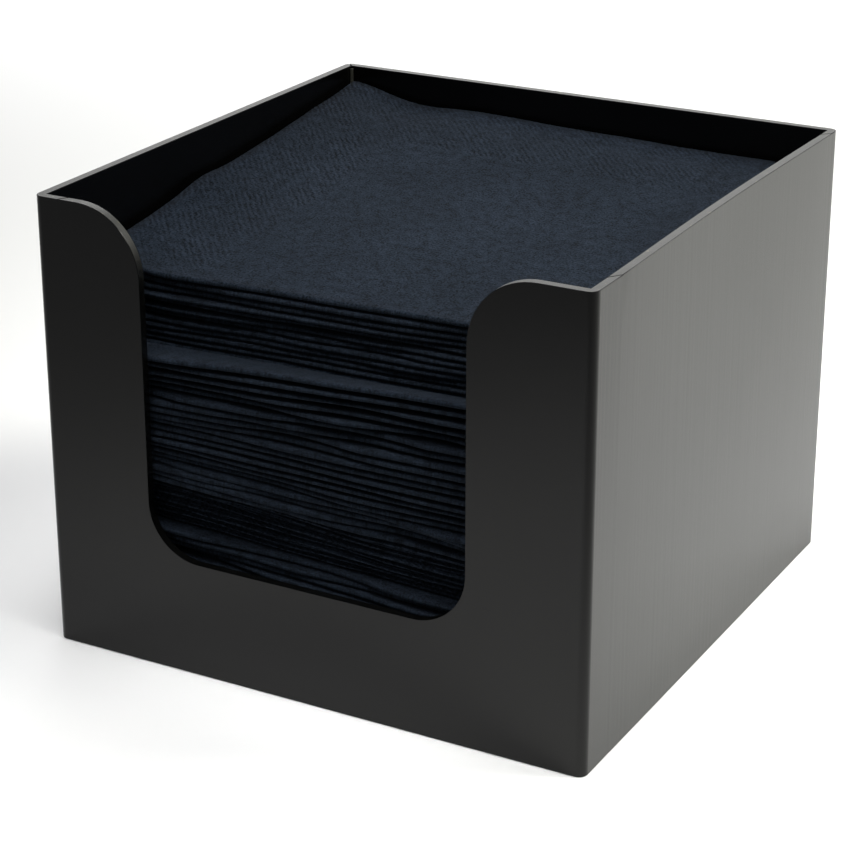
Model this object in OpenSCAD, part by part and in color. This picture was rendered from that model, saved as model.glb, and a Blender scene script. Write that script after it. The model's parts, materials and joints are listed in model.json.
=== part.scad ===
// Open-topped napkin box with a U-shaped front cut-out, holding a stack of
// quarter-folded paper napkins. Walls are cemented sheet, one piece per side.
// Origin: centre of the underside. +Z up, front towards -Y, +X to the right.

/* [Box] */
// outside width and depth
box_w = 190; // [180:1:215]
// outside height
box_h = 151; // [148:1:170]
// thickness of the sheet
wall_t = 3; // [2.5:0.1:4]
// clear width of the front cut-out
cut_w = 112; // [80:1:120]
// how far the cut-out sits left of centre
cut_shift = 0.8; // [0:0.1:2]
// height of the cut-out's lower edge
cut_z = 38.6; // [30:0.2:50]
// radius of the cut-out's lower corners
cut_r_low = 18; // [8:0.5:22]
// radius where the cut-out meets the rim
cut_r_top = 22; // [10:0.5:24]
// leg of the cement fillet in the back left corner
bead = 1.8; // [1:0.1:2]

/* [Napkins] */
// side of a folded napkin
nap = 165; // [155:1:165]
// thickness of one folded napkin in the pile
nap_t = 2.07; // [1.6:0.01:2.08]
// free gap between two napkins
nap_gap = 0.05; // [0.02:0.01:0.2]
// gap between the napkins and the wall that they lean on
lean = 1.4; // [1.3:0.1:3]
// rise of the upper napkins from front to back
rise = 14.5; // [0:0.5:15]

/* [Hidden] */
$fn = 64;
eps = 0.01;
half = box_w / 2;
inner = half - wall_t;
in_w = 2 * inner;
cut_l = -cut_w / 2 - cut_shift;
cut_rt = cut_w / 2 - cut_shift;
n_top = 12;
n_single = 42;
n_low = 17;
z_floor = wall_t;
// the sheet seams, as distances along the walls
seam_fl = -85.7;
seam_fr = -81.5;
seam_br = 85.8;
seam_run_l = 2.2;
seam_run_r = 4.4;
seam_run_b = 3.2;

// little sideways and endways shifts from napkin to napkin
function wob(k, a, b) = 0.5 * sin(k * a) + 0.3 * sin(k * b + 40);
function turned(k) = k > 32 && k < 40;
// front edge of napkin k
function y_front(k) =
    k <= n_top ? inner - lean - nap + 0.6 * (wob(k, 77, 151) - 0.8) :
    turned(k) ? -inner + 2.6 + 0.8 * wob(k, 67, 139) :
    k > 28 && k <= 32 ? -inner + 1.1 + 0.2 * wob(k, 83, 127) :
    -inner + 1.5 + 0.5 * wob(k, 83, 127);
// left edge of napkin k
function x_left(k) =
    k <= n_top ? -inner + lean + 0.5 * (wob(k, 59, 143) + 0.8) :
    -inner + 3.6 + 2.2 * wob(k, 101, 37);
// how many napkins lie under napkin k
function below(k) = n_low + n_single - k;
// height at depth y of the surface that has n napkins under it: the pile is
// level at the bottom and rises more and more to the back, up to the napkin
// under the twelve that lie loose on top
n_wedge = n_low + n_single - n_top;
y_level = -83;
function z_at(n, y) = z_floor + n * nap_t + rise / nap * min(n / n_wedge, 1) * (y - y_level);

// one napkin, or several together, as a slab that rises to the back
module slab(k, layers = 1) {
    n = below(k);
    lift = n == 0 ? nap_gap : 0;
    ya = y_front(k);
    yb = ya + nap;
    translate([x_left(k), 0, 0])
        rotate([90, 0, 90])
            linear_extrude(height = nap)
                polygon([
                    [ya, z_at(n, ya) + lift],
                    [yb, z_at(n, yb) + lift],
                    [yb, z_at(n + layers, yb) - nap_gap],
                    [ya, z_at(n + layers, ya) - nap_gap]
                ]);
}

// outside of the box before it is hollowed, with rounded upright corners
module outside() {
    translate([-half, -inner, 0])
        cube([box_w, in_w, box_h]);
    translate([-inner, -half, 0])
        cube([in_w, box_w, box_h]);
    for (sx = [-1, 1], sy = [-1, 1])
        translate([sx * inner, sy * inner, 0])
            cylinder(r = wall_t, h = box_h);
}

module hollow() {
    translate([-inner, -inner, -1])
        cube([in_w, in_w, box_h + 2]);
}

// the part of the walls that lies inside a plan outline
module wall(outline) {
    difference() {
        intersection() {
            outside();
            translate([0, 0, -1])
                linear_extrude(height = box_h + 2)
                    polygon(outline);
        }
        hollow();
    }
}

// the U-shaped opening, with lower corners rounded in and upper ones rounded out
module u_cut() {
    y0 = -half - 2;
    d = wall_t + 4;
    translate([cut_l, y0, cut_z + cut_r_low])
        cube([cut_w, d, box_h]);
    translate([cut_l + cut_r_low, y0, cut_z])
        cube([cut_w - 2 * cut_r_low, d, box_h]);
    for (x = [cut_l + cut_r_low, cut_rt - cut_r_low])
        translate([x, y0, cut_z + cut_r_low])
            rotate([-90, 0, 0])
                cylinder(r = cut_r_low, h = d);
    for (s = [-1, 1])
        difference() {
            xe = s < 0 ? cut_l : cut_rt;
            translate([s < 0 ? xe - cut_r_top : xe - 1, y0, box_h - cut_r_top])
                cube([cut_r_top + 1, d, cut_r_top + 1]);
            translate([xe + s * cut_r_top, y0 - 1, box_h - cut_r_top])
                rotate([-90, 0, 0])
                    cylinder(r = cut_r_top, h = d + 2);
        }
}

module front_panel() {
    color("#232323")
        difference() {
            wall([
                [seam_fl, -half - eps],
                [seam_fl + seam_run_l, -inner],
                [0, 0],
                [inner, seam_fr],
                [half + eps, seam_fr + seam_run_r],
                [half + 5, seam_fr + seam_run_r],
                [half + 5, -half - 5],
                [seam_fl, -half - 5]
            ]);
            u_cut();
        }
}

module right_panel() {
    color("#262626")
        wall([
            [0, 0],
            [inner, seam_fr],
            [half + eps, seam_fr + seam_run_r],
            [half + 5, seam_fr + seam_run_r],
            [half + 5, seam_br + seam_run_b],
            [half + eps, seam_br + seam_run_b],
            [inner, seam_br]
        ]);
}

module back_panel() {
    color("#232323")
        wall([
            [0, 0],
            [inner, seam_br],
            [half + eps, seam_br + seam_run_b],
            [half + 5, seam_br + seam_run_b],
            [half + 5, half + 5],
            [-half - 5, half + 5]
        ]);
}

module left_panel() {
    color("#262626")
        wall([
            [0, 0],
            [-half - 5, half + 5],
            [-half - 5, -half - 5],
            [seam_fl, -half - 5],
            [seam_fl, -half - eps],
            [seam_fl + seam_run_l, -inner]
        ]);
}

module base_panel() {
    color("#1d1d1d")
        translate([-inner, -inner, 0])
            cube([in_w, in_w, wall_t]);
}

// run of cement in the back left inner corner
module corner_bead() {
    color("#5a5a52")
        translate([-inner, inner, wall_t])
            linear_extrude(height = box_h - wall_t - 0.4)
                polygon([[0, 0], [bead, 0], [0, -bead]]);
}

module napkin_01() {
    color("#2b3038")
        slab(1);
}

module napkin_02() {
    color("#2b3038")
        slab(2);
}

module napkin_03() {
    color("#2b3038")
        slab(3);
}

module napkin_04() {
    color("#2b3038")
        slab(4);
}

module napkin_05() {
    color("#2b3038")
        slab(5);
}

module napkin_06() {
    color("#2b3038")
        slab(6);
}

module napkin_07() {
    color("#2b3038")
        slab(7);
}

module napkin_08() {
    color("#2b3038")
        slab(8);
}

module napkin_09() {
    color("#2b3038")
        slab(9);
}

module napkin_10() {
    color("#2b3038")
        slab(10);
}

module napkin_11() {
    color("#2b3038")
        slab(11);
}

module napkin_12() {
    color("#2b3038")
        slab(12);
}

module napkin_13() {
    color("#2b3038")
        slab(13);
}

module napkin_14() {
    color("#2b3038")
        slab(14);
}

module napkin_15() {
    color("#2b3038")
        slab(15);
}

module napkin_16() {
    color("#2b3038")
        slab(16);
}

module napkin_17() {
    color("#2b3038")
        slab(17);
}

module napkin_18() {
    color("#2b3038")
        slab(18);
}

module napkin_19() {
    color("#2b3038")
        slab(19);
}

module napkin_20() {
    color("#2b3038")
        slab(20);
}

module napkin_21() {
    color("#2b3038")
        slab(21);
}

module napkin_22() {
    color("#2b3038")
        slab(22);
}

module napkin_23() {
    color("#2b3038")
        slab(23);
}

module napkin_24() {
    color("#2b3038")
        slab(24);
}

module napkin_25() {
    color("#2b3038")
        slab(25);
}

module napkin_26() {
    color("#2b3038")
        slab(26);
}

module napkin_27() {
    color("#2b3038")
        slab(27);
}

module napkin_28() {
    color("#2b3038")
        slab(28);
}

module napkin_29() {
    color("#2b3038")
        slab(29);
}

module napkin_30() {
    color("#2b3038")
        slab(30);
}

module napkin_31() {
    color("#2b3038")
        slab(31);
}

module napkin_32() {
    color("#2b3038")
        slab(32);
}

module napkin_33() {
    color("#2b3038")
        slab(33);
}

module napkin_34() {
    color("#2b3038")
        slab(34);
}

module napkin_35() {
    color("#2b3038")
        slab(35);
}

module napkin_36() {
    color("#2b3038")
        slab(36);
}

module napkin_37() {
    color("#2b3038")
        slab(37);
}

module napkin_38() {
    color("#2b3038")
        slab(38);
}

module napkin_39() {
    color("#2b3038")
        slab(39);
}

module napkin_40() {
    color("#2b3038")
        slab(40);
}

module napkin_41() {
    color("#2b3038")
        slab(41);
}

module napkin_42() {
    color("#2b3038")
        slab(42);
}

// the napkins that lie under the cut-out, out of sight, kept as one block
module napkin_bundle() {
    color("#20242b")
        slab(n_single + n_low, n_low);
}

/* [Hidden] */

front_panel();
right_panel();
back_panel();
left_panel();
base_panel();
corner_bead();
napkin_01();
napkin_02();
napkin_03();
napkin_04();
napkin_05();
napkin_06();
napkin_07();
napkin_08();
napkin_09();
napkin_10();
napkin_11();
napkin_12();
napkin_13();
napkin_14();
napkin_15();
napkin_16();
napkin_17();
napkin_18();
napkin_19();
napkin_20();
napkin_21();
napkin_22();
napkin_23();
napkin_24();
napkin_25();
napkin_26();
napkin_27();
napkin_28();
napkin_29();
napkin_30();
napkin_31();
napkin_32();
napkin_33();
napkin_34();
napkin_35();
napkin_36();
napkin_37();
napkin_38();
napkin_39();
napkin_40();
napkin_41();
napkin_42();
napkin_bundle();
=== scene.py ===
import json
import math

import bmesh
import bpy
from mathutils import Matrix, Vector


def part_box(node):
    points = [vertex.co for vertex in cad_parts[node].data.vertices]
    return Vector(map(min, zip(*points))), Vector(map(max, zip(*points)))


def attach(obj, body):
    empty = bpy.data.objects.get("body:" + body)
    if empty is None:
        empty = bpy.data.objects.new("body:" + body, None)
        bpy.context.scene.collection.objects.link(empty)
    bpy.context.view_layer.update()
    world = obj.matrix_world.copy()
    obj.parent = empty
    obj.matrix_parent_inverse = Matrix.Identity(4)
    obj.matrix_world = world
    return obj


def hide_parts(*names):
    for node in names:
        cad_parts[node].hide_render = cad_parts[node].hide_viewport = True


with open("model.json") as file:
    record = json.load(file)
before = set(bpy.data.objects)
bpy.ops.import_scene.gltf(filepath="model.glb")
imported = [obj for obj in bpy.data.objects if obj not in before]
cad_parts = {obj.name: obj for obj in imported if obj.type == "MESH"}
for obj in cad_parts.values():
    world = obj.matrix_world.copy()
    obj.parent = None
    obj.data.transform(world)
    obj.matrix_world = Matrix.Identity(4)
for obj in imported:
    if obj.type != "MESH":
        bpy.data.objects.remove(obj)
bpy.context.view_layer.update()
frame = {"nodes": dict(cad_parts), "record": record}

# --- The four walls and the base -------------------------------------------------
# Extruded black polystyrene sheet, 3 mm thick, satin from the rollers. All walls but
# the right one turn a corner. Their ends are cemented, most of them planed to a slant.
# The top edges and the U-shaped cut-out are sawn and scraped by hand.


def linear(code):
    """A linear colour from an sRGB hex code."""
    parts = [int(code[i:i + 2], 16) / 255 for i in (1, 3, 5)]
    return (*[c / 12.92 if c <= 0.04045 else ((c + 0.055) / 1.055) ** 2.4 for c in parts], 1.0)


def add(tree, kind, inputs=(), output=0, **settings):
    """Adds a node with its settings, values and links, and gives one of its outputs."""
    node = tree.nodes.new(kind)
    for name, value in settings.items():
        setattr(node, name, value)
    for key, value in inputs.items() if isinstance(inputs, dict) else enumerate(inputs):
        if isinstance(value, bpy.types.NodeSocket):
            tree.links.new(value, node.inputs[key])
        elif value is not None:
            node.inputs[key].default_value = value
    return node.outputs[output] if node.outputs else node


# Satin polystyrene: nearly black, with the long faint draw lines that the rollers
# leave, which show as upright streaks where a wall mirrors something bright.
satin_sheet = bpy.data.materials.new("satin_black_polystyrene_sheet")
satin_sheet.use_nodes = True
tree = satin_sheet.node_tree
shader = tree.nodes["Principled BSDF"]
place = add(tree, "ShaderNodeTexCoord", output=3)
# draw lines are about 1.5 mm apart and run the height of a wall
drawn = add(tree, "ShaderNodeMapping", {"Vector": place, "Scale": (650, 650, 9)})
lines = add(tree, "ShaderNodeTexNoise", {"Vector": drawn, "Scale": 1.0, "Detail": 3.0, "Roughness": 0.55})
clouds = add(tree, "ShaderNodeTexNoise", {"Vector": place, "Scale": 38.0, "Detail": 2.0})
# the skin's fine grain, 0.25 mm
grain = add(tree, "ShaderNodeTexNoise", {"Vector": place, "Scale": 4000.0, "Detail": 1.0})
rough = add(tree, "ShaderNodeMath", [lines, 0.05, 0.11], operation="MULTIPLY_ADD")
rough = add(tree, "ShaderNodeMath", [clouds, 0.09, rough], operation="MULTIPLY_ADD")
height = add(tree, "ShaderNodeMath", [grain, 0.25, lines], operation="MULTIPLY_ADD")
bump = add(tree, "ShaderNodeBump", {"Strength": 0.13, "Distance": 0.0002, "Height": height})
tint = add(tree, "ShaderNodeMix", {
    0: clouds, 6: linear("#030303"), 7: linear("#060606"),
}, 2, data_type="RGBA")
tree.links.new(tint, shader.inputs["Base Color"])
tree.links.new(rough, shader.inputs["Roughness"])
tree.links.new(bump, shader.inputs["Normal"])
# clear polystyrene has 1.59; the rolled black skin mirrors less
shader.inputs["IOR"].default_value = 1.34

# The sawn edge: the same sheet with its skin cut away. Scraping leaves it greyer and
# rougher, with short marks 0.7 mm apart, tiny pale flecks and dark nicks.
scraped_edge = bpy.data.materials.new("scraped_polystyrene_edge")
scraped_edge.use_nodes = True
tree = scraped_edge.node_tree
shader = tree.nodes["Principled BSDF"]
place = add(tree, "ShaderNodeTexCoord", output=3)
marks = add(tree, "ShaderNodeTexNoise", {"Vector": place, "Scale": 1500.0, "Detail": 4.0, "Roughness": 0.7})
patches = add(tree, "ShaderNodeTexNoise", {"Vector": place, "Scale": 160.0, "Detail": 3.0})
flecks = add(tree, "ShaderNodeTexNoise", {"Vector": place, "Scale": 700.0, "Detail": 1.0})
pale = add(tree, "ShaderNodeMapRange", {"Value": flecks, "From Min": 0.71, "From Max": 0.78})
nicks = add(tree, "ShaderNodeMapRange", {"Value": flecks, "From Min": 0.30, "From Max": 0.26})
tint = add(tree, "ShaderNodeMix", {
    0: patches, 6: linear("#1e1e1c"), 7: linear("#31312c"),
}, 2, data_type="RGBA")
tint = add(tree, "ShaderNodeMix", {0: pale, 6: tint, 7: linear("#6b6650")}, 2, data_type="RGBA")
tint = add(tree, "ShaderNodeMix", {0: nicks, 6: tint, 7: linear("#161614")}, 2, data_type="RGBA")
# painted shade: from 149 mm down to 124 mm the edge's colour is scaled down to a twentieth, as it runs from
# the lit rim into the cut-out; it is made smoother there too
upright = add(tree, "ShaderNodeSeparateXYZ", [place], 2)
painted_rim_light_and_roughness = add(tree, "ShaderNodeMapRange", {
    "Value": upright, "From Min": 0.124, "From Max": 0.149, "To Min": 0.05,
}, interpolation_type="SMOOTHSTEP")
# painted shade: the edge's colour dimmed lower down in the cut-out
tint = add(tree, "ShaderNodeVectorMath", {0: tint, "Scale": painted_rim_light_and_roughness}, operation="SCALE")
rough = add(tree, "ShaderNodeMath", [patches, 0.15, 0.15], operation="MULTIPLY_ADD")
rough = add(tree, "ShaderNodeMath", [painted_rim_light_and_roughness, 0.2, rough], operation="MULTIPLY_ADD")
bump = add(tree, "ShaderNodeBump", {"Strength": 0.35, "Distance": 0.0002, "Height": marks})
tree.links.new(tint, shader.inputs["Base Color"])
tree.links.new(rough, shader.inputs["Roughness"])
tree.links.new(bump, shader.inputs["Normal"])
shader.inputs["IOR"].default_value = 1.55

# The solvent joint: dissolved sheet that has set in the seams, a dull black line with
# pits 0.4 mm across
solvent_joint = bpy.data.materials.new("set_solvent_joint")
solvent_joint.use_nodes = True
tree = solvent_joint.node_tree
shader = tree.nodes["Principled BSDF"]
place = add(tree, "ShaderNodeTexCoord", output=3)
pits = add(tree, "ShaderNodeTexNoise", {"Vector": place, "Scale": 2500.0, "Detail": 2.0})
tint = add(tree, "ShaderNodeMix", {
    0: pits, 6: linear("#040404"), 7: linear("#12120f"),
}, 2, data_type="RGBA")
bump = add(tree, "ShaderNodeBump", {"Strength": 0.4, "Distance": 0.0001, "Height": pits})
tree.links.new(tint, shader.inputs["Base Color"])
tree.links.new(bump, shader.inputs["Normal"])
shader.inputs["Roughness"].default_value = 0.8
shader.inputs["Specular IOR Level"].default_value = 0.1

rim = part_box("front_panel")[1].z
cut_half = 0.083  # the cut-out with its shoulders lies within this of the middle
cut_low = 0.0386  # its lower edge
eased = 0.00026  # how far a sawn or bottom edge is rounded off
seam = 0.00025  # half the joint line across the rim
wide_seam = 0.0004  # the same on the left wall, whose joint shows more
slack = 0.0011  # the middle of the long right wall leans in this far at the rim


def settled(holder, name):
    """A plain mesh object with all of holder's modifiers worked in; holder goes."""
    graph = bpy.context.evaluated_depsgraph_get()
    mesh = bpy.data.meshes.new_from_object(holder.evaluated_get(graph), depsgraph=graph)
    old = holder.data
    bpy.data.objects.remove(holder)
    bpy.data.meshes.remove(old)
    piece = bpy.data.objects.new(name, mesh)
    bpy.context.scene.collection.objects.link(piece)
    return piece


def wall_piece(node, bow=0.0):
    """A copy of a wall with its edges eased, and scraped where it was sawn.

    bow is how far the middle of the right wall leans in at the rim.
    """
    low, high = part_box(node)
    mesh = frame["nodes"][node].data.copy()
    mesh.materials.clear()
    mesh.materials.append(satin_sheet)
    mesh.materials.append(scraped_edge)
    mesh.materials.append(solvent_joint)
    bm = bmesh.new()
    bm.from_mesh(mesh)
    bmesh.ops.remove_doubles(bm, verts=bm.verts, dist=2e-6)
    bmesh.ops.dissolve_limit(bm, angle_limit=math.radians(0.3), verts=bm.verts, edges=bm.edges)
    for face in bm.faces:
        middle, way = face.calc_center_median(), face.normal
        sawn_rim = way.z > 0.9 and middle.z > rim - 0.001
        by_cut = node == "front_panel" and abs(middle.x) < cut_half and middle.z > cut_low - 0.002
        face.material_index = 1 if sawn_rim or (by_cut and abs(way.y) < 0.2) else 0
    # the planed ends are wide faces set slantwise; their top edges make the seams
    planed = [
        f for f in bm.faces
        if min(abs(f.normal.x), abs(f.normal.y)) > 0.2 and f.calc_area() > 3e-4
    ]
    seams = [e for f in planed for e in f.edges if min(v.co.z for v in e.verts) > rim - 1e-4]
    width = wide_seam if node == "left_panel" else seam
    bmesh.ops.bevel(bm, geom=seams, offset=width, segments=1, affect="EDGES", material=2)
    sharp = [
        e for e in bm.edges
        if len(e.link_faces) == 2 and e.calc_face_angle(0) > math.radians(30)
        and (any(f.material_index == 1 for f in e.link_faces) or max(v.co.z for v in e.verts) < 1e-4)
        and not any(f.material_index == 2 for f in e.link_faces)
    ]
    bmesh.ops.bevel(
        bm, geom=sharp, offset=eased, segments=2, profile=0.6, affect="EDGES", clamp_overlap=True,
    )
    if bow:
        cuts = [((0, low.y + (high.y - low.y) * i / 16, 0), (0, 1, 0)) for i in range(1, 16)]
        cuts += [((0, 0, rim * i / 8), (0, 0, 1)) for i in range(1, 8)]
        for point, across in cuts:
            whole = [*bm.verts, *bm.edges, *bm.faces]
            bmesh.ops.bisect_plane(bm, geom=whole, plane_co=point, plane_no=across)
        for v in bm.verts:
            along = max(0.0, min(1.0, (v.co.y - low.y) / (high.y - low.y)))
            v.co.x -= bow * math.sin(math.pi * along) ** 1.3 * (v.co.z / rim) ** 1.6
    for face in bm.faces:
        face.smooth = True
    bm.to_mesh(mesh)
    bm.free()
    mesh.set_sharp_from_angle(angle=math.radians(28))
    holder = bpy.data.objects.new(node + "_bare", mesh)
    bpy.context.scene.collection.objects.link(holder)
    # big faces stay flat beside the turned corners
    even = holder.modifiers.new("even", "WEIGHTED_NORMAL")
    even.keep_sharp = True
    piece = settled(holder, node + "_sheet")
    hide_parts(node)
    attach(piece, "box")
    return piece


for name in ("front_panel", "back_panel", "left_panel", "base_panel"):
    wall_piece(name)
wall_piece("right_panel", slack)

# --- The run of cement in the back left corner ------------------------------------
# A bead of solvent cement squeezed out of the one corner that is a butt joint and
# wiped down with a finger. It has dried dull grey and a little lumpy.

# Dried cement: dull grey, with soft lumps 2.4 mm across that break up its shine
dried_cement = bpy.data.materials.new("dried_solvent_cement")
dried_cement.use_nodes = True
tree = dried_cement.node_tree
shader = tree.nodes["Principled BSDF"]
place = add(tree, "ShaderNodeTexCoord", output=3)
lumps = add(tree, "ShaderNodeTexNoise", {"Vector": place, "Scale": 420.0, "Detail": 3.0})
tint = add(tree, "ShaderNodeMix", {
    0: lumps, 6: linear("#26261f"), 7: linear("#42423a"),
}, 2, data_type="RGBA")
bump = add(tree, "ShaderNodeBump", {"Strength": 0.4, "Distance": 0.0004, "Height": lumps})
tree.links.new(tint, shader.inputs["Base Color"])
tree.links.new(bump, shader.inputs["Normal"])
shader.inputs["Roughness"].default_value = 0.5

# a line up the corner, swept with a round of wandering radius
swept = bpy.data.node_groups.new("cement run", "GeometryNodeTree")
for title, kind in (("Foot", "Vector"), ("Top", "Vector"), ("Radius", "Float"), ("Cement", "Material")):
    swept.interface.new_socket(title, in_out="INPUT", socket_type="NodeSocket" + kind)
swept.interface.new_socket("Geometry", in_out="OUTPUT", socket_type="NodeSocketGeometry")
given = swept.nodes.new("NodeGroupInput").outputs
path = add(swept, "GeometryNodeCurvePrimitiveLine", {"Start": given["Foot"], "End": given["Top"]})
path = add(swept, "GeometryNodeResampleCurve", {"Curve": path, "Count": 90})
wander = add(swept, "ShaderNodeTexNoise", {"Scale": 170.0, "Detail": 2.0}, noise_dimensions="4D")
size = add(swept, "ShaderNodeMapRange", {"Value": wander, "To Min": 0.8, "To Max": 1.15})
size = add(swept, "ShaderNodeMath", [size, given["Radius"]], operation="MULTIPLY")
path = add(swept, "GeometryNodeSetCurveRadius", {"Curve": path, "Radius": size})
round_it = add(swept, "GeometryNodeCurvePrimitiveCircle", {"Resolution": 10, "Radius": 1.0})
bead = add(swept, "GeometryNodeCurveToMesh", {
    "Curve": path, "Profile Curve": round_it, "Fill Caps": True, "Scale": size,
})
bead = add(swept, "GeometryNodeRealizeInstances", {"Geometry": bead})
bead = add(swept, "GeometryNodeSetMaterial", {"Geometry": bead, "Material": given["Cement"]})
add(swept, "NodeGroupOutput", {"Geometry": bead})

low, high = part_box("corner_bead")
radius = (high.x - low.x) / 2


def grown(tree, name, **values):
    """What a node tree makes with these inputs, as a plain mesh; solid is a thickness for it."""
    solid = values.pop("solid", 0)
    holder = bpy.data.objects.new(name + "_tree", bpy.data.meshes.new(name))
    bpy.context.scene.collection.objects.link(holder)
    modifier = holder.modifiers.new("tree", "NODES")
    modifier.node_group = tree
    for item in tree.interface.items_tree:
        title = item.name.replace(" ", "_").lower()
        if item.in_out == "INPUT" and title in values:
            modifier[item.identifier] = values[title]
    if solid:
        thick = holder.modifiers.new("thickness", "SOLIDIFY")
        thick.thickness = solid
        thick.offset = 0.0
    return settled(holder, name)


# its middle is sunk half way into the corner, and it stops short of the base and the rim
inset = radius * 0.5
bead = grown(
    swept, "cement_run", radius=radius * 0.68, cement=dried_cement,
    foot=(low.x + inset, high.y - inset, low.z + 0.0005),
    top=(low.x + inset, high.y - inset, high.z - 0.0006),
)
bead.data.shade_smooth()
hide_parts("corner_bead")
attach(bead, "box")

# --- The napkins ---------------------------------------------------------------------
# Dark navy tissue, 330 mm square, folded in quarters: once across, then once more, so
# that two sides are folds and two are open. A border 40 mm wide is embossed with slanting
# ribs between a plain field and the open edges. They lie in a pile, held by nothing.

# Dyed tissue: matt and dark, mottled by its creped fibres, with faint ribs in its border
tissue = bpy.data.materials.new("embossed_navy_tissue")
tissue.use_nodes = True
tree = tissue.node_tree
shader = tree.nodes["Principled BSDF"]
# "spread" holds a point's distances from the two folds, and the napkin's number
spread = add(tree, "ShaderNodeAttribute", output=1, attribute_name="spread")
apart = add(tree, "ShaderNodeSeparateXYZ", [spread])
across = apart
along = apart.node.outputs[1]
further = add(tree, "ShaderNodeMath", [across, along], operation="MAXIMUM")
border = add(tree, "ShaderNodeMapRange", {"Value": further, "From Min": 0.1246, "From Max": 0.1254})
nearer = add(tree, "ShaderNodeMath", [across, along], operation="MINIMUM")
inland = add(tree, "ShaderNodeMapRange", {"Value": nearer, "From Min": 0.003, "From Max": 0.012})
# ribs 1.9 mm apart, wobbling a little and broken here and there
slanted = add(tree, "ShaderNodeMath", [across, -1.2, along], operation="MULTIPLY_ADD")
wobble = add(tree, "ShaderNodeTexNoise", {"Vector": spread, "Scale": 330.0, "Detail": 1.0})
slanted = add(tree, "ShaderNodeMath", [wobble, 0.0034, slanted], operation="MULTIPLY_ADD")
slanted = add(tree, "ShaderNodeMath", [slanted, 2 * math.pi / (0.0019 * 1.562)], operation="MULTIPLY")
ribs = add(tree, "ShaderNodeMath", [slanted], operation="SINE")
pressed = add(tree, "ShaderNodeTexNoise", {"Vector": spread, "Scale": 90.0, "Detail": 2.0})
pressed = add(tree, "ShaderNodeMapRange", {
    "Value": pressed, "From Min": 0.35, "From Max": 0.6, "To Min": 0.15,
})
pressed = add(tree, "ShaderNodeMath", [pressed, border], operation="MULTIPLY")
pressed = add(tree, "ShaderNodeMath", [pressed, inland], operation="MULTIPLY")
ribs = add(tree, "ShaderNodeMath", [ribs, pressed], operation="MULTIPLY")
# the pressed line at the border's inner edge, 0.8 mm wide
line = add(tree, "ShaderNodeMath", [further, 0.1240, 0.0004], operation="COMPARE")
line = add(tree, "ShaderNodeMath", [line, pressed], operation="MULTIPLY")
# creped fibres in clumps of 3 mm; they are drawn 0.8 mm wide, coarser than real, to show
fibres = add(tree, "ShaderNodeTexNoise", {
    "Vector": spread, "Scale": 1300.0, "Detail": 3.0, "Roughness": 0.75,
})
clumps = add(tree, "ShaderNodeTexNoise", {"Vector": spread, "Scale": 300.0, "Detail": 2.0})
dye = add(tree, "ShaderNodeTexNoise", {"Vector": spread, "Scale": 28.0, "Detail": 2.0})
shade = add(tree, "ShaderNodeMath", [clumps, 0.30, fibres], operation="MULTIPLY_ADD")
shade = add(tree, "ShaderNodeMath", [ribs, 0.06, shade], operation="MULTIPLY_ADD")
shade = add(tree, "ShaderNodeMapRange", {"Value": shade, "From Min": 0.53, "From Max": 0.77})
tint = add(tree, "ShaderNodeMix", {
    0: shade, 6: linear("#05080c"), 7: linear("#202731"),
}, 2, data_type="RGBA")
dim = add(tree, "ShaderNodeMapRange", {
    "Value": dye, "From Min": 0.35, "From Max": 0.65, "To Min": 0.84, "To Max": 1.08,
})
tint = add(tree, "ShaderNodeVectorMath", {0: tint, "Scale": dim}, operation="SCALE")
tint = add(tree, "ShaderNodeMix", {0: line, 6: tint, 7: linear("#1e232e")}, 2, data_type="RGBA")
height = add(tree, "ShaderNodeMath", [ribs, 0.4, fibres], operation="MULTIPLY_ADD")
height = add(tree, "ShaderNodeMath", [line, -0.5, height], operation="MULTIPLY_ADD")
bump = add(tree, "ShaderNodeBump", {"Strength": 0.8, "Distance": 0.0004, "Height": height})
tree.links.new(tint, shader.inputs["Base Color"])
tree.links.new(bump, shader.inputs["Normal"])
shader.inputs["Roughness"].default_value = 0.85
# mostly air between its fibres, so it hardly shines
shader.inputs["IOR"].default_value = 1.25
shader.inputs["Specular IOR Level"].default_value = 0.1
shader.inputs["Sheen Weight"].default_value = 0.01
shader.inputs["Sheen Roughness"].default_value = 0.6

# The tree bends a flat grid round its two folds, each half a round, the inner pair of
# layers inside the outer one. Then the sheet follows the pile. No simulation is used.
folded = bpy.data.node_groups.new("folded napkin", "GeometryNodeTree")
sizes = (
    "Half Side", "Fold X", "Fold Y", "Turn", "Level", "Slope", "Twist", "Outer", "Inner",
    "Seed", "Waves", "Flare", "Lip", "Skew", "Swell", "Recess", "Tilt",
)
for title in sizes:
    folded.interface.new_socket(title, in_out="INPUT", socket_type="NodeSocketFloat")
folded.interface.new_socket("Points", in_out="INPUT", socket_type="NodeSocketInt")
folded.interface.new_socket("Tissue", in_out="INPUT", socket_type="NodeSocketMaterial")
folded.interface.new_socket("Geometry", in_out="OUTPUT", socket_type="NodeSocketGeometry")
given = folded.nodes.new("NodeGroupInput").outputs
sheet = add(folded, "GeometryNodeMeshGrid", {
    "Size X": 2.0, "Size Y": 2.0, "Vertices X": given["Points"], "Vertices Y": given["Points"],
})
at = add(folded, "ShaderNodeSeparateXYZ", [add(folded, "GeometryNodeInputPosition")])
known = {title: given[title] for title in sizes} | {"gx": at, "gy": at.node.outputs[1]}


def work(steps):
    """Adds a math node for each of steps: a name, an operation, and what it works on."""
    for row in steps:
        operands = [known[x] if isinstance(x, str) else x for x in row[2:]]
        known[row[0]] = add(folded, "ShaderNodeMath", operands, operation=row[1])


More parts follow.
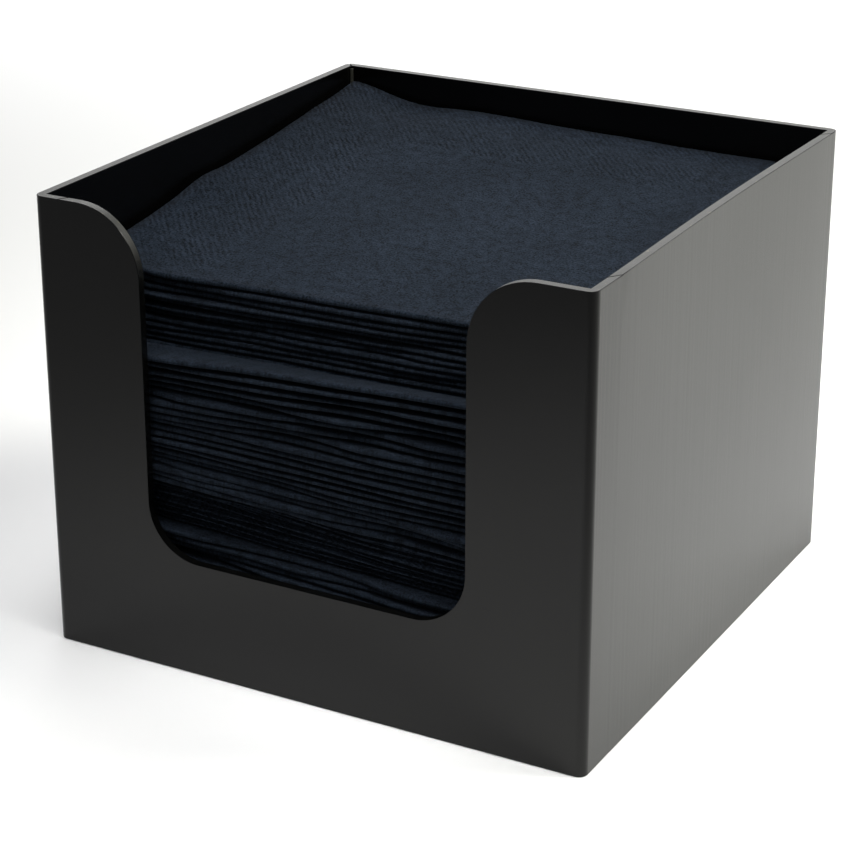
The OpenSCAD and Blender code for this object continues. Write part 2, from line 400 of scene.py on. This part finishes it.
work([
    # distances from the folds, closer together near them
    ("ax", "ABSOLUTE", "gx"), ("ax", "POWER", "ax", 2.0), ("a", "MULTIPLY", "ax", "Half Side"),
    ("ay", "ABSOLUTE", "gy"), ("ay", "POWER", "ay", 2.0), ("b", "MULTIPLY", "ay", "Half Side"),
    ("sx", "SIGN", "gx"), ("sy", "SIGN", "gy"),
    # the first fold, between the outer and the inner layer
    ("r", "SUBTRACT", "Outer", "Inner"), ("r", "MULTIPLY", "r", 0.5),
    ("t", "DIVIDE", "a", "r"), ("t", "MINIMUM", "t", math.pi / 2),
    ("q", "SINE", "t"), ("q", "MULTIPLY", "q", "sx"),
    ("c", "COSINE", "t"), ("c", "SUBTRACT", 1.0, "c"), ("c", "MULTIPLY", "c", "r"),
    ("l", "MULTIPLY_ADD", "r", -math.pi / 2, "a"), ("l", "MAXIMUM", "l", 0.0),
    ("x_in", "ADD", "c", "l"),
    ("h", "ADD", "Outer", "Inner"), ("h", "MULTIPLY", "h", 0.5), ("qr", "MULTIPLY", "q", "r"),
    ("h", "SUBTRACT", "h", "qr"),
    # the second fold, round the first
    ("t", "DIVIDE", "b", "h"), ("t", "MINIMUM", "t", math.pi / 2),
    ("p", "SINE", "t"), ("p", "MULTIPLY", "p", "sy"),
    ("c", "COSINE", "t"), ("c", "SUBTRACT", 1.0, "c"), ("c", "MULTIPLY", "c", "h"),
    ("l", "MULTIPLY_ADD", "h", -math.pi / 2, "b"), ("l", "MAXIMUM", "l", 0.0),
    ("y_in", "ADD", "c", "l"), ("y_in", "ADD", "y_in", "Outer"), ("y_in", "SUBTRACT", "y_in", "h"),
    ("up", "MULTIPLY", "p", "h"),
    # the open edges don't quite meet
    ("s", "MULTIPLY", "sx", "Skew"), ("s", "ADD", "s", 1.0), ("x_in", "MULTIPLY", "x_in", "s"),
    ("s", "MULTIPLY", "sy", "Skew"), ("s", "MULTIPLY_ADD", "s", -0.7, 1.0),
    ("y_in", "MULTIPLY", "y_in", "s"),
    # to its place in the pile; Turn is 1 for folds in front, -1 for folds behind
    ("s", "MULTIPLY", "Turn", -1.0), ("x", "MULTIPLY_ADD", "x_in", "s", "Fold X"),
    ("y", "MULTIPLY_ADD", "y_in", "Turn", "Fold Y"),
])
# an edge in front isn't quite straight: each napkin is drawn back here and there
own = add(folded, "ShaderNodeMath", [known["Seed"], 0.047], operation="MULTIPLY")
row = add(folded, "ShaderNodeCombineXYZ", [known["x"], 0.0, own])
known["drawn"] = add(folded, "ShaderNodeTexNoise", {"Vector": row, "Scale": 14.0, "Detail": 1.0})
# turns a product of two places into one that is 1 at a corner, 83 mm out both ways
to_corner = 145.2
work([
    ("s", "SUBTRACT", "drawn", 0.42), ("s", "MAXIMUM", "s", 0.0), ("s", "MULTIPLY", "s", "Recess"),
    ("g", "ADD", "y", 0.091), ("g", "MULTIPLY", "g", -30.0), ("g", "EXPONENT", "g"),
    ("y", "MULTIPLY_ADD", "s", "g", "y"),
    # the pile rises towards the back, and towards two of its corners
    ("z", "ADD", "y", 0.083), ("z", "MULTIPLY_ADD", "z", "Slope", "Level"), ("z", "ADD", "z", "up"),
    ("xy", "MULTIPLY", "x", "y"), ("xy", "MULTIPLY", "xy", -to_corner),
    ("z", "MULTIPLY_ADD", "xy", "Twist", "z"), ("z", "MULTIPLY_ADD", "x", "Tilt", "z"),
])
# long low swells that neighbours share
spot = add(folded, "ShaderNodeCombineXYZ", [known["x"], known["y"], known["Level"]])
swell = add(folded, "ShaderNodeVectorMath", [spot, (9, 12, 34)], operation="MULTIPLY")
known["swell"] = add(folded, "ShaderNodeTexNoise", {"Vector": swell, "Scale": 1.0, "Detail": 0.0})
# ripples of each layer's own along the open edges
layer = add(folded, "ShaderNodeMath", [known["sx"], 3.7, known["Seed"]], operation="MULTIPLY_ADD")
layer = add(folded, "ShaderNodeMath", [known["sy"], 1.9, layer], operation="MULTIPLY_ADD")
known["ripple"] = add(folded, "ShaderNodeTexNoise", {
    "Vector": spot, "W": layer, "Scale": 42.0, "Detail": 1.0,
}, noise_dimensions="4D")
# how near a point is to the open edges, and to the pile's left, back and front
for title, value, start, end in (
    ("open_a", known["a"], 0.118, 0.165),
    ("open_b", known["b"], 0.118, 0.165),
    ("left", known["x"], -0.058, -0.091),
    ("back", known["y"], 0.060, 0.091),
    ("front", known["y"], -0.066, -0.091),
):
    known[title] = add(folded, "ShaderNodeMapRange", {
        "Value": value, "From Min": start, "From Max": end,
    }, interpolation_type="SMOOTHSTEP")
work([
    ("s", "SUBTRACT", "swell", 0.5), ("z", "MULTIPLY_ADD", "s", "Swell", "z"),
    ("open", "MAXIMUM", "open_a", "open_b"), ("open", "MULTIPLY", "open", "Waves"),
    ("s", "SUBTRACT", "ripple", 0.5), ("s", "MULTIPLY", "s", 2.0),
    ("z", "MULTIPLY_ADD", "s", "open", "z"),
    # loose napkins flare up at the left, most near the middle and at the far corner
    ("g", "ADD", "y", 0.012), ("g", "DIVIDE", "g", 0.012), ("g", "MULTIPLY", "g", "g"),
    ("g", "MULTIPLY", "g", -1.0), ("g", "EXPONENT", "g"), ("g", "MULTIPLY_ADD", "g", 0.7, 1.0),
    ("g", "MULTIPLY", "g", "left"), ("z", "MULTIPLY_ADD", "g", "Flare", "z"),
    # they sink a little at the back, most 30 mm from the corner
    ("g", "ADD", "x", 0.062), ("g", "DIVIDE", "g", 0.016), ("g", "MULTIPLY", "g", "g"),
    ("g", "MULTIPLY", "g", -1.0), ("g", "EXPONENT", "g"), ("g", "MULTIPLY_ADD", "g", 0.7, 0.4),
    ("g", "MULTIPLY", "g", "back"), ("g", "MULTIPLY", "g", "Flare"), ("z", "SUBTRACT", "z", "g"),
    # and their far corner lifts
    ("g", "MULTIPLY", "left", "back"), ("g", "MULTIPLY", "g", "g"),
    ("g", "MULTIPLY", "g", "Flare"), ("z", "MULTIPLY_ADD", "g", 0.5, "z"),
    # the lip in front of the loose ones isn't pressed down, and stands highest at the right
    ("s", "MULTIPLY_ADD", "x", 3.0, 1.1), ("s", "MULTIPLY", "s", "front"),
    ("z", "MULTIPLY_ADD", "s", "Lip", "z"),
])
place = add(folded, "ShaderNodeCombineXYZ", [known["x"], known["y"], known["z"]])
number = add(folded, "ShaderNodeCombineXYZ", [known["a"], known["b"], known["Seed"]])
sheet = add(folded, "GeometryNodeStoreNamedAttribute", {
    "Geometry": sheet, "Name": "spread", "Value": number,
}, data_type="FLOAT_VECTOR", domain="POINT")
sheet = add(folded, "GeometryNodeSetPosition", {"Geometry": sheet, "Position": place})
sheet = add(folded, "GeometryNodeRealizeInstances", {"Geometry": sheet})
sheet = add(folded, "GeometryNodeSetMaterial", {"Geometry": sheet, "Material": given["Tissue"]})
add(folded, "NodeGroupOutput", {"Geometry": sheet})

floor_of_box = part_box("base_panel")[1].z
half_side = 0.165  # half of the opened sheet
ply = 0.00030  # the thickness of one folded layer
pitch = 0.00207  # from one napkin to the next
napkins = 59
loose_last = 12  # napkins 1 to 12 lie loose on top, pushed against the back wall
flat_last = 32  # the four down to this one are pressed flatter
turned_last = 39  # down to this one they have their open edges in front
single_last = 42  # below this one the frame has a single block for all
for k in range(1, napkins + 1):
    node = "napkin_%02d" % k if k <= single_last else "napkin_bundle"
    low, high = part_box(node)
    under = napkins - k
    loose = k <= loose_last
    turned = flat_last < k <= turned_last
    # four numbers from -1 to 1, the same each time for this napkin
    dice = [math.sin(k * s) for s in (12.9898, 78.233, 37.719, 93.989)]
    # the space between neighbours is wider now and then
    gap = 0.0002 if flat_last - 4 < k <= turned_last else 0.00034 + 0.00060 * dice[1] ** 6
    outer = (pitch - gap - ply) / 2
    waves = 0.0011 if turned else 0.00010 + 0.00005 * dice[0]
    piece = grown(
        folded, "napkin_%02d_sheet" % k, tissue=tissue, solid=ply, half_side=half_side, seed=float(k),
        points=161 if k <= 2 else 81 if k <= single_last else 33,
        turn=-1.0 if turned else 1.0,
        fold_x=low.x if turned else high.x,
        fold_y=high.y + 0.0034 + 0.0016 * dice[3] if turned else low.y,
        # the two upper ones are a little puffed up
        level=floor_of_box + (under + 0.5) * pitch + (0.0006, 0.0003, 0)[min(k, 3) - 1],
        # 14.5 mm over a napkin's depth at the top of the pile, less further down
        slope=0.0145 / 0.165 * min(under / 47, 1.0),
        twist=0.002 * max(-0.4, min(1.0, (under - 30) / 17)),
        outer=outer, inner=outer * 0.36,
        # the pile is fuller on the left from the turned ones downwards
        tilt=-0.028 * max(0.0, min((k - 8) / 22, 1.0, under / 16)),
        waves=waves + 0.0005 * 0.6 ** (k - 1) if loose else waves,
        flare=0.0024 * math.exp(-(k - 1) / 6) if loose else 0.0,
        lip=0.0 if loose else 0.0056 * math.exp(-(k - loose_last - 1) / 8),
        skew=(0.008 if turned else 0.004) * dice[2],
        # the swells are strongest about the turned ones
        swell=min(under / 10, 1.0) * (0.0024 + 0.0040 * math.exp(-(((k - 36) / 5) ** 2))),
        recess=0.006 if turned else 0.005 + 0.014 * dice[3] ** 2,
    )
    piece.data.shade_smooth()
    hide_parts(node)
    body = next(b for b, nodes in frame["record"]["behaviour"]["bodies"].items() if node in nodes)
    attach(piece, body)

# --- The studio ------------------------------------------------------------------------
# A pale sweep of floor in a pale room. The walls mirror the floor beside them, so most
# of the lamps are aimed there: a soft one overhead, broad ones behind the box, and three
# small ones that make faint pools at its foot. One more lights the pile.

paper_floor = bpy.data.materials.new("pale_sweep")
paper_floor.use_nodes = True
shader = paper_floor.node_tree.nodes["Principled BSDF"]
shader.inputs["Base Color"].default_value = linear("#f0f0f0")
shader.inputs["Roughness"].default_value = 0.9
shader.inputs["Specular IOR Level"].default_value = 0.1
mesh = bpy.data.meshes.new("floor")
reach = 6.0
corners = [(-reach, -reach, 0), (reach, -reach, 0), (reach, reach, 0), (-reach, reach, 0)]
mesh.from_pydata(corners, [], [(0, 1, 2, 3)])
mesh.materials.append(paper_floor)
ground = bpy.data.objects.new("floor", mesh)
ground.location.z = -0.0002  # just clear of the base
bpy.context.scene.collection.objects.link(ground)

world = bpy.data.worlds.new("studio")
world.use_nodes = True
world.node_tree.nodes["Background"].inputs["Color"].default_value = linear("#f6f7f9")
world.node_tree.nodes["Background"].inputs["Strength"].default_value = 0.28
bpy.context.scene.world = world

plain = (1.0, 1.0, 1.0)
warm = (1.0, 0.995, 0.92)
# each lamp: its place, what it is aimed at, its side, its spread in degrees, its watts
for title, place, target, size, spread, power, tone in (
    ("overhead", (0.05, -0.05, 0.94), (0.02, 0.12, 0), 0.3, 44, 0.58, plain),
    ("overhead_front", (0, -0.30, 0.90), (0, -0.04, 0.14), 0.12, 14, 0.038, plain),
    ("backdrop", (-1.6, 3.0, 1.3), (0, 0, 0.1), 2.0, 180, 14.5, plain),
    ("behind_left", (-0.9, 1.7, 1.3), (-0.6, 1.3, 0), 1.0, 80, 10.8, plain),
    ("behind_right", (1.1, 0.7, 1.2), (0.35, 0.45, 0), 0.8, 60, 5.5, warm),
    ("pool_right", (0.45, -0.15, 0.7), (0.12, -0.04, 0), 0.2, 30, 0.08, warm),
    ("pool_front_right", (0.2, -0.5, 0.8), (0.04, -0.27, 0), 0.2, 30, 0.17, plain),
    ("pool_front_left", (-0.1, -0.2, 0.7), (-0.10, -0.12, 0), 0.2, 30, 0.028, plain),
):
    lamp = bpy.data.lights.new(title, "AREA")
    lamp.shape = "SQUARE"
    lamp.size = size
    lamp.energy = power
    lamp.spread = math.radians(spread)
    lamp.color = tone
    holder = bpy.data.objects.new(title, lamp)
    holder.location = place
    holder.rotation_euler = (Vector(target) - Vector(place)).to_track_quat("-Z", "Y").to_euler()
    bpy.context.scene.collection.objects.link(holder)

# The camera stands about 4.5 box widths off, with a long lens
width = frame["record"]["size"]["bbox_m"][0]
lens = bpy.data.cameras.new("camera")
lens.sensor_width = 36.0
lens.lens = 103.119
lens.shift_y = -0.0504
camera = bpy.data.objects.new("camera", lens)
turn = math.radians(28.74)
tilt = math.radians(21.39)
camera.location = (1.898 * width, -3.538 * width, 1.956 * width)
back = Vector((math.sin(turn) * math.cos(tilt), -math.cos(turn) * math.cos(tilt), math.sin(tilt)))
camera.rotation_euler = (-back).to_track_quat("-Z", "Y").to_euler()
bpy.context.scene.collection.objects.link(camera)
bpy.context.scene.camera = camera
bpy.context.scene.view_settings.view_transform = "Standard"
